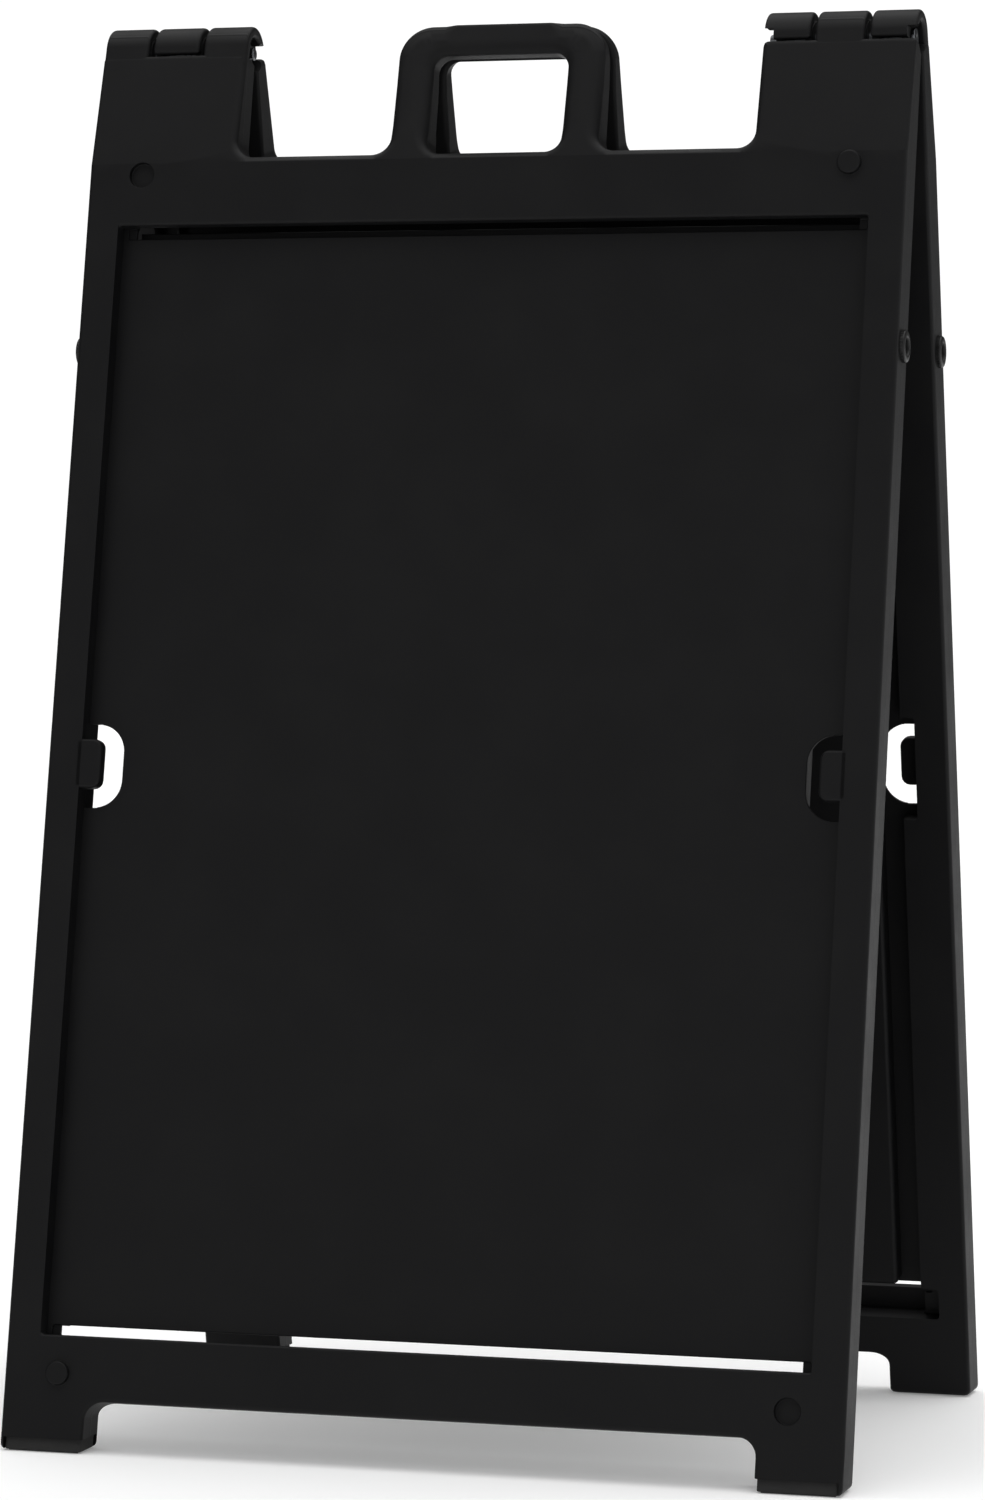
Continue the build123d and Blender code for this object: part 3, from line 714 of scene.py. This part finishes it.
def mesh_of(shape, matrix):
    """A mesh from a bmesh, moved into place."""
    mesh = bpy.data.meshes.new("part")
    shape.transform(matrix)
    shape.to_mesh(mesh)
    shape.free()
    return mesh


hinge_side = {"front": "left", "rear": "right"}
for body, side in hinge_side.items():
    matrix = place[body] @ Matrix.Translation((HEAD_FACE, 0, 0)) @ along_axis
    mesh = mesh_of(turned(rod_profile, 48), matrix)
    finish(f"{side}_hinge_pin", mesh, zinc, body, f"{side}_hinge_rod")

# ---- Rod clips -----------------------------------------------------------------------------------
# A push-on cap washer of hardened spring steel holds each rod. Its sprung fingers bite into the rod's
# groove, and its rim bears on the innermost cheek.
CLIP_SEAT = -219.9
CLIP_RADIUS = 10.0
CLIP_THICK = 1.2
CLIP_BORE = 7.4
CLIP_EDGE = 0.35
clip_ring = quarter(CLIP_RADIUS - CLIP_EDGE, CLIP_EDGE, CLIP_EDGE, -90, 0, 2)
clip_ring += quarter(CLIP_RADIUS - CLIP_EDGE, CLIP_THICK - CLIP_EDGE, CLIP_EDGE, 0, 90, 2)
clip_ring += [(8.6, CLIP_THICK), (8.0, CLIP_THICK + 0.25)]
clip_ring += [(CLIP_BORE, CLIP_THICK + 0.3), (CLIP_BORE, 0.2), (8.2, 0)]


def ring(profile, count=48):
    """A turned ring from a closed (radius, height) outline that stays clear of its axis."""
    shape = bmesh.new()
    rows = []
    for radius, height in profile:
        turns = [2 * math.pi * k / count for k in range(count)]
        rows.append([shape.verts.new((radius * math.cos(a), radius * math.sin(a), height)) for a in turns])
    for i, row in enumerate(rows):
        for k in range(count):
            shape.faces.new((rows[i - 1][k - 1], rows[i - 1][k], row[k], row[k - 1]))
    bmesh.ops.recalc_face_normals(shape, faces=shape.faces)
    return shape


def new_nodes(name, sizes):
    """An empty Geometry Nodes tree with a named input for each size."""
    tree = bpy.data.node_groups.new(name, "GeometryNodeTree")
    tree.interface.new_socket("Geometry", in_out="INPUT", socket_type="NodeSocketGeometry")
    for size, value in sizes.items():
        kind = "NodeSocketInt" if isinstance(value, int) else "NodeSocketFloat"
        tree.interface.new_socket(size, in_out="INPUT", socket_type=kind)
    tree.interface.new_socket("Material", in_out="INPUT", socket_type="NodeSocketMaterial")
    tree.interface.new_socket("Geometry", in_out="OUTPUT", socket_type="NodeSocketGeometry")
    return tree, tree.nodes.new("NodeGroupInput").outputs


def grown(shape, tree, sizes, material):
    """The mesh that a Geometry Nodes tree makes from a shape."""
    piece = solid("growing", shape)
    nodes = piece.modifiers.new("nodes", "NODES")
    nodes.node_group = tree
    for item in tree.interface.items_tree:
        if item.in_out == "INPUT" and item.name in sizes:
            nodes[item.identifier] = sizes[item.name]
        if item.in_out == "INPUT" and item.name == "Material":
            nodes[item.identifier] = material
    bpy.context.view_layer.update()
    mesh = bpy.data.meshes.new_from_object(piece.evaluated_get(bpy.context.evaluated_depsgraph_get()))
    bpy.data.objects.remove(piece)
    return mesh


finger_sizes = {
    "Fingers": 8,
    "Ring radius": 6.55,
    "Width": 2.9,
    "Length": 2.9,
    "Thickness": 0.7,
    "Rise": 1.6,
    "Lean": 0.5,
}
clip_nodes, size = new_nodes("clip fingers", finger_sizes)
spots = add(clip_nodes, "GeometryNodeMeshCircle", None, {
    "Vertices": size["Fingers"], "Radius": size["Ring radius"]})
block = add(clip_nodes, "ShaderNodeCombineXYZ", None, {
    "X": size["Length"], "Y": size["Width"], "Z": size["Thickness"]})
finger = add(clip_nodes, "GeometryNodeMeshCube", None, {"Size": block.outputs[0]})
tilt = add(clip_nodes, "ShaderNodeCombineXYZ", None, {"Y": size["Lean"]})
leaning = add(clip_nodes, "GeometryNodeTransform", None, {
    "Geometry": finger.outputs["Mesh"], "Rotation": tilt.outputs[0]})
outward = add(clip_nodes, "FunctionNodeAlignRotationToVector", {"axis": "X"}, {
    "Vector": add(clip_nodes, "GeometryNodeInputPosition").outputs[0]})
placed = add(clip_nodes, "GeometryNodeInstanceOnPoints", None, {
    "Points": spots.outputs["Mesh"], "Instance": leaning.outputs[0], "Rotation": outward.outputs[0]})
real = add(clip_nodes, "GeometryNodeRealizeInstances", None, {"Geometry": placed.outputs[0]})
lift = add(clip_nodes, "ShaderNodeCombineXYZ", None, {"Z": size["Rise"]})
raised = add(clip_nodes, "GeometryNodeTransform", None, {
    "Geometry": real.outputs[0], "Translation": lift.outputs[0]})
joined = add(clip_nodes, "GeometryNodeMeshBoolean", {"operation": "UNION", "solver": "EXACT"}, {
    "Mesh 2": raised.outputs[0], "Self Intersection": True})
clip_nodes.links.new(size["Geometry"], joined.inputs["Mesh 2"])
finished = add(clip_nodes, "GeometryNodeSetMaterial", None, {
    "Geometry": joined.outputs["Mesh"], "Material": size["Material"]})
add(clip_nodes, "NodeGroupOutput", None, {"Geometry": finished.outputs[0]})

# Oil-blackened spring steel worn back to grey metal: satin, with a mottled sheen.
spring_steel, tree = new_material("spring_steel")
at = add(tree, "ShaderNodeTexCoord").outputs["Object"]
mottle = add(tree, "ShaderNodeTexNoise", None, {
    "Vector": at, "Scale": spacing(3.5), "Detail": 5.0, "Roughness": 0.65})
tempered = add(tree, "ShaderNodeMix", {"data_type": "RGBA"}, {
    "Factor": mottle.outputs["Fac"], 6: linear("#c2c4c6"), 7: linear("#808386")})
satin = add(tree, "ShaderNodeMapRange", None, {
    "Value": mottle.outputs["Fac"], "To Min": 0.24, "To Max": 0.42})
rolled = add(tree, "ShaderNodeBump", None, {
    "Height": mottle.outputs["Fac"], "Distance": 0.04 * MM, "Strength": 0.4})
shader = add(tree, "ShaderNodeBsdfPrincipled", None, {
    "Base Color": tempered.outputs[2], "Roughness": satin.outputs[0], "Metallic": 1.0,
    "Normal": rolled.outputs["Normal"]})
add(tree, "ShaderNodeOutputMaterial", None, {"Surface": shader.outputs["BSDF"]})

for body, side in hinge_side.items():
    mesh = grown(ring(clip_ring), clip_nodes, finger_sizes, spring_steel)
    mesh.transform(place[body] @ Matrix.Translation((CLIP_SEAT, 0, 0)) @ along_axis)
    finish(f"{side}_cap_washer", mesh, spring_steel, body, f"{side}_rod_clip")

# ---- Foot pads -----------------------------------------------------------------------------------
# A moulded rubber pad is pressed into the sole of each foot by two pegs. Its underside stands level
# when the board is open, and low ribs run across it so that it doesn't slip on wet paving.
PAD_ROUND = 3.0
PAD_FACE = OUTER_FACE - 2.5
RIB_RADIUS = 1.3
RIB_PITCH = 4.2
pad_corners = [(x, -offset, PAD_ROUND) for x, offset in (
    (pad_inner, pad_back), (pad_outer, pad_back), (pad_outer, PAD_FACE), (pad_inner, PAD_FACE))]
rib_sizes = {
    "Ribs": 6,
    "Pitch": RIB_PITCH,
    "Radius": RIB_RADIUS,
    "Length": pad_outer - pad_inner - 2 * PAD_ROUND,
    "Middle": (pad_inner + pad_outer) / 2,
    "First": pad_back + 4.5,
}
pad_nodes, size = new_nodes("pad ribs", rib_sizes)
start = add(pad_nodes, "ShaderNodeCombineXYZ", None, {
    "X": size["Middle"], "Y": size["First"], "Z": size["Radius"]})
step = add(pad_nodes, "ShaderNodeCombineXYZ", None, {"Y": size["Pitch"]})
row = add(pad_nodes, "GeometryNodeMeshLine", None, {
    "Count": size["Ribs"], "Start Location": start.outputs[0], "Offset": step.outputs[0]})
rib = add(pad_nodes, "GeometryNodeMeshCylinder", None, {
    "Vertices": 16, "Radius": size["Radius"], "Depth": size["Length"]})
lying = add(pad_nodes, "GeometryNodeTransform", None, {
    "Geometry": rib.outputs["Mesh"], "Rotation": (0, math.pi / 2, 0)})
placed = add(pad_nodes, "GeometryNodeInstanceOnPoints", None, {
    "Points": row.outputs[0], "Instance": lying.outputs[0]})
real = add(pad_nodes, "GeometryNodeRealizeInstances", None, {"Geometry": placed.outputs[0]})
joined = add(pad_nodes, "GeometryNodeMeshBoolean", {"operation": "UNION", "solver": "EXACT"}, {
    "Mesh 2": real.outputs[0]})
pad_nodes.links.new(size["Geometry"], joined.inputs["Mesh 2"])
finished = add(pad_nodes, "GeometryNodeSetMaterial", None, {
    "Geometry": joined.outputs["Mesh"], "Material": size["Material"]})
add(pad_nodes, "NodeGroupOutput", None, {"Geometry": finished.outputs[0]})

# Black rubber: matt and dead, finely pebbled from its mould, with pale dust rubbed into it.
rubber, tree = new_material("moulded_rubber")
at = add(tree, "ShaderNodeTexCoord").outputs["Object"]
pebble = add(tree, "ShaderNodeTexVoronoi", None, {"Vector": at, "Scale": spacing(0.9)})
grime = add(tree, "ShaderNodeTexNoise", None, {
    "Vector": at, "Scale": spacing(14), "Detail": 6.0, "Roughness": 0.7})
dust_share = add(tree, "ShaderNodeMapRange", None, {
    "Value": grime.outputs["Fac"], "From Min": 0.45, "From Max": 0.8, "To Min": 0.0, "To Max": 0.5})
worn = add(tree, "ShaderNodeMix", {"data_type": "RGBA"}, {
    "Factor": dust_share.outputs[0], 6: linear("#101010"), 7: linear("#2a2927")})
rough = add(tree, "ShaderNodeMapRange", None, {
    "Value": grime.outputs["Fac"], "To Min": 0.72, "To Max": 0.92})
pebbled = add(tree, "ShaderNodeBump", None, {
    "Height": pebble.outputs["Distance"], "Distance": 0.12 * MM, "Strength": 0.5})
shader = add(tree, "ShaderNodeBsdfPrincipled", None, {
    "Base Color": worn.outputs[2], "Roughness": rough.outputs[0], "IOR": 1.52,
    "Normal": pebbled.outputs["Normal"]})
add(tree, "ShaderNodeOutputMaterial", None, {"Surface": shader.outputs["BSDF"]})

side_of = {
    "front": {"left": -1, "right": 1},
    "rear": {"left": 1, "right": -1},
}
for body, sides in side_of.items():
    for name, side in sides.items():
        pad = plate([rounded(pad_corners, 1e6)], RIB_RADIUS, PAD_HEIGHT, 0.6, 0.8, 3)
        bmesh.ops.rotate(pad, verts=pad.verts, matrix=Matrix.Rotation(-math.pi / 2, 3, "X"))
        mesh = grown(pad, pad_nodes, rib_sizes, rubber)
        for vert in mesh.vertices:
            x, offset, height = vert.co
            vert.co = (side * x, -offset, -level_drop(offset, height))
        shape = bmesh.new()
        shape.from_mesh(mesh)
        bmesh.ops.recalc_face_normals(shape, faces=shape.faces)
        sole = solid("sole", shape)
        for x in peg_places:
            peg = turned(bevelled_peg(PEG_RADIUS, PEG_LENGTH), 32)
            combine(sole, solid("peg", peg, Matrix.Translation((side * x, -PEG_OFFSET, -peg_root))), "UNION")
        mesh = sole.data
        bpy.data.objects.remove(sole)
        mesh.transform(place[body])
        finish(f"{body}_{name}_rubber_foot", mesh, rubber, body, f"{body}_{name}_foot_pad")

# ---- Filler plugs --------------------------------------------------------------------------------
# A push-in polyethylene plug closes the ballast filler in each side wall. It has a dished well for the
# thumb and a ribbed rim, to pull it out by with wet hands.
FLANGE_RADIUS = 12.8
FLANGE_HEIGHT = 4.0
WELL_RADIUS = 6.8
WELL_DEPTH = 7.0
BARREL_RADIUS = 7.9
BARREL_LENGTH = 9.0
rim_radius = FLANGE_RADIUS - 0.4
plug_profile = [(0, -BARREL_LENGTH), (BARREL_RADIUS - 0.8, -BARREL_LENGTH)]
plug_profile += [(BARREL_RADIUS, -BARREL_LENGTH + 0.8), (BARREL_RADIUS, -2.6)]
plug_profile += [(BARREL_RADIUS + 0.08, -2.0), (BARREL_RADIUS, -1.4), (BARREL_RADIUS, 0)]
plug_profile += [(rim_radius, 0)] + quarter(rim_radius - 1.3, FLANGE_HEIGHT - 1.6, 1.3, 0, 75, 5)
plug_profile += [(rim_radius - 2.4, FLANGE_HEIGHT - 0.12), (WELL_RADIUS + 1.6, FLANGE_HEIGHT)]
plug_profile += [(WELL_RADIUS + 0.7, FLANGE_HEIGHT - 0.15), (WELL_RADIUS + 0.15, FLANGE_HEIGHT - 0.7)]
plug_profile += [(WELL_RADIUS, FLANGE_HEIGHT - 1.4), (WELL_RADIUS - 0.3, FLANGE_HEIGHT - WELL_DEPTH + 1.2)]
plug_profile += [(WELL_RADIUS - 1.6, FLANGE_HEIGHT - WELL_DEPTH + 0.1), (0, FLANGE_HEIGHT - WELL_DEPTH)]
grip_sizes = {"Ribs": 30, "Ring radius": rim_radius - 0.1, "Rib radius": 0.5, "Depth": 2.2, "Rise": 1.15}
plug_nodes, size = new_nodes("plug ribs", grip_sizes)
spots = add(plug_nodes, "GeometryNodeMeshCircle", None, {
    "Vertices": size["Ribs"], "Radius": size["Ring radius"]})
rib = add(plug_nodes, "GeometryNodeMeshCylinder", None, {
    "Vertices": 8, "Radius": size["Rib radius"], "Depth": size["Depth"]})
placed = add(plug_nodes, "GeometryNodeInstanceOnPoints", None, {
    "Points": spots.outputs["Mesh"], "Instance": rib.outputs["Mesh"]})
real = add(plug_nodes, "GeometryNodeRealizeInstances", None, {"Geometry": placed.outputs[0]})
lift = add(plug_nodes, "ShaderNodeCombineXYZ", None, {"Z": size["Rise"]})
raised = add(plug_nodes, "GeometryNodeTransform", None, {
    "Geometry": real.outputs[0], "Translation": lift.outputs[0]})
joined = add(plug_nodes, "GeometryNodeMeshBoolean", {"operation": "UNION", "solver": "EXACT"}, {
    "Mesh 2": raised.outputs[0]})
plug_nodes.links.new(size["Geometry"], joined.inputs["Mesh 2"])
finished = add(plug_nodes, "GeometryNodeSetMaterial", None, {
    "Geometry": joined.outputs["Mesh"], "Material": size["Material"]})
add(plug_nodes, "NodeGroupOutput", None, {"Geometry": finished.outputs[0]})

# Injection-moulded polyethylene: smoother and a shade shinier than the panel, faintly flow-marked.
plug_plastic, tree = new_material("injection_moulded_polyethylene")
at = add(tree, "ShaderNodeTexCoord").outputs["Object"]
flow = add(tree, "ShaderNodeTexNoise", None, {
    "Vector": at, "Scale": spacing(9), "Detail": 3.0, "Distortion": 0.6})
fine = add(tree, "ShaderNodeTexNoise", None, {"Vector": at, "Scale": spacing(0.7), "Detail": 2.0})
tint = add(tree, "ShaderNodeMix", {"data_type": "RGBA"}, {
    "Factor": flow.outputs["Fac"], 6: linear("#111112"), 7: linear("#191919")})
sheen = add(tree, "ShaderNodeMapRange", None, {"Value": flow.outputs["Fac"], "To Min": 0.30, "To Max": 0.44})
surface = add(tree, "ShaderNodeBump", None, {
    "Height": fine.outputs["Fac"], "Distance": 0.03 * MM, "Strength": 0.4})
shader = add(tree, "ShaderNodeBsdfPrincipled", None, {
    "Base Color": tint.outputs[2], "Roughness": sheen.outputs[0], "IOR": 1.51,
    "Specular IOR Level": 0.2, "Normal": surface.outputs["Normal"]})
add(tree, "ShaderNodeOutputMaterial", None, {"Surface": shader.outputs["BSDF"]})

for body, sides in side_of.items():
    for name, side in sides.items():
        mesh = grown(turned(plug_profile, 60), plug_nodes, grip_sizes, plug_plastic)
        mesh.transform(place[body] @ facing_side(side, FILLER_DROP, middle))
        finish(f"{body}_{name}_plug", mesh, plug_plastic, body, f"{body}_{name}_filler_plug")

# ---- Floor, light and camera ---------------------------------------------------------------------
# A pale, faintly glowing studio floor runs back to a white backdrop. A wide soft light hangs overhead,
# a low one lights the front, a faint tall one stands to the right, and the rest of the room is dim.
floor_shape = bmesh.new()
bmesh.ops.create_grid(floor_shape, x_segments=8, y_segments=8, size=40)
floor = solid("studio_floor", floor_shape)
paint, tree = new_material("floor_paint")
at = add(tree, "ShaderNodeTexCoord").outputs["Object"]
roller = add(tree, "ShaderNodeTexNoise", None, {"Vector": at, "Scale": 3.0, "Detail": 2.0})
pale = add(tree, "ShaderNodeMix", {"data_type": "RGBA"}, {
    "Factor": roller.outputs["Fac"], 6: linear("#f2f2f2"), 7: linear("#efefef")})
shader = add(tree, "ShaderNodeBsdfPrincipled", None, {
    "Base Color": pale.outputs[2], "Roughness": 0.8,
    "Emission Color": (1, 1, 1, 1), "Emission Strength": 0.16})
add(tree, "ShaderNodeOutputMaterial", None, {"Surface": shader.outputs["BSDF"]})
floor.data.materials.append(paint)

ROOM = 0.06
BACKDROP = 1.0
FRONT = 0.75
OVERHEAD = 2.2
scene = bpy.context.scene
scene.view_settings.view_transform = "Standard"
scene.world = bpy.data.worlds.new("studio")
scene.world.use_nodes = True
tree = scene.world.node_tree
tree.nodes.clear()
direction = add(tree, "ShaderNodeTexCoord").outputs["Generated"]
height = add(tree, "ShaderNodeSeparateXYZ", None, {"Vector": direction}).outputs["Z"]
towards_backdrop = (-0.289, 0.957, 0.0)
ahead = add(tree, "ShaderNodeVectorMath", {"operation": "DOT_PRODUCT"}, {
    0: direction, 1: towards_backdrop}).outputs["Value"]


def ramp(value, start, end, low, high):
    """A smooth step of a value between two levels."""
    settings = {"interpolation_type": "SMOOTHSTEP"}
    inputs = {"Value": value, "From Min": start, "From Max": end, "To Min": low, "To Max": high}
    return add(tree, "ShaderNodeMapRange", settings, inputs).outputs[0]


def arithmetic(operation, first, second):
    """One arithmetic node."""
    return add(tree, "ShaderNodeMath", {"operation": operation}, {0: first, 1: second}).outputs[0]


backdrop = arithmetic("MULTIPLY", ramp(ahead, 0.955, 0.985, 0, BACKDROP), ramp(height, 0.10, 0.14, 1, 0))
front = arithmetic("MULTIPLY", ramp(ahead, -0.3, -0.8, 0, FRONT), ramp(height, 0.35, 0.60, 1, 0))
dome = arithmetic("ADD", ramp(height, 0.62, 0.85, 0, OVERHEAD), ROOM)
total = arithmetic("ADD", dome, arithmetic("ADD", backdrop, front))
light = add(tree, "ShaderNodeBackground", None, {"Color": (1, 1, 1, 1), "Strength": total})
add(tree, "ShaderNodeOutputWorld", None, {"Surface": light.outputs[0]})


def softbox(name, position, target, width, height, power):
    """A rectangular soft light that looks at a target."""
    lamp = bpy.data.lights.new(name, "AREA")
    lamp.shape = "RECTANGLE"
    lamp.size = width
    lamp.size_y = height
    lamp.energy = power
    holder = bpy.data.objects.new(name, lamp)
    holder.location = position
    holder.rotation_euler = (Vector(target) - Vector(position)).to_track_quat("-Z", "Y").to_euler()
    scene.collection.objects.link(holder)


softbox("right_softbox", (2.6, 0.6, 1.5), (0, 0, 0.8), 1.2, 2.0, 12)

lens = bpy.data.cameras.new("camera")
lens.lens = 125.2
lens.sensor_width = 36
camera = bpy.data.objects.new("camera", lens)
camera.location = (1.1871, -3.9751, 0.7175)
camera.rotation_euler = (math.radians(87.5), math.radians(-0.14), math.radians(16.8))
scene.collection.objects.link(camera)
scene.camera = camera
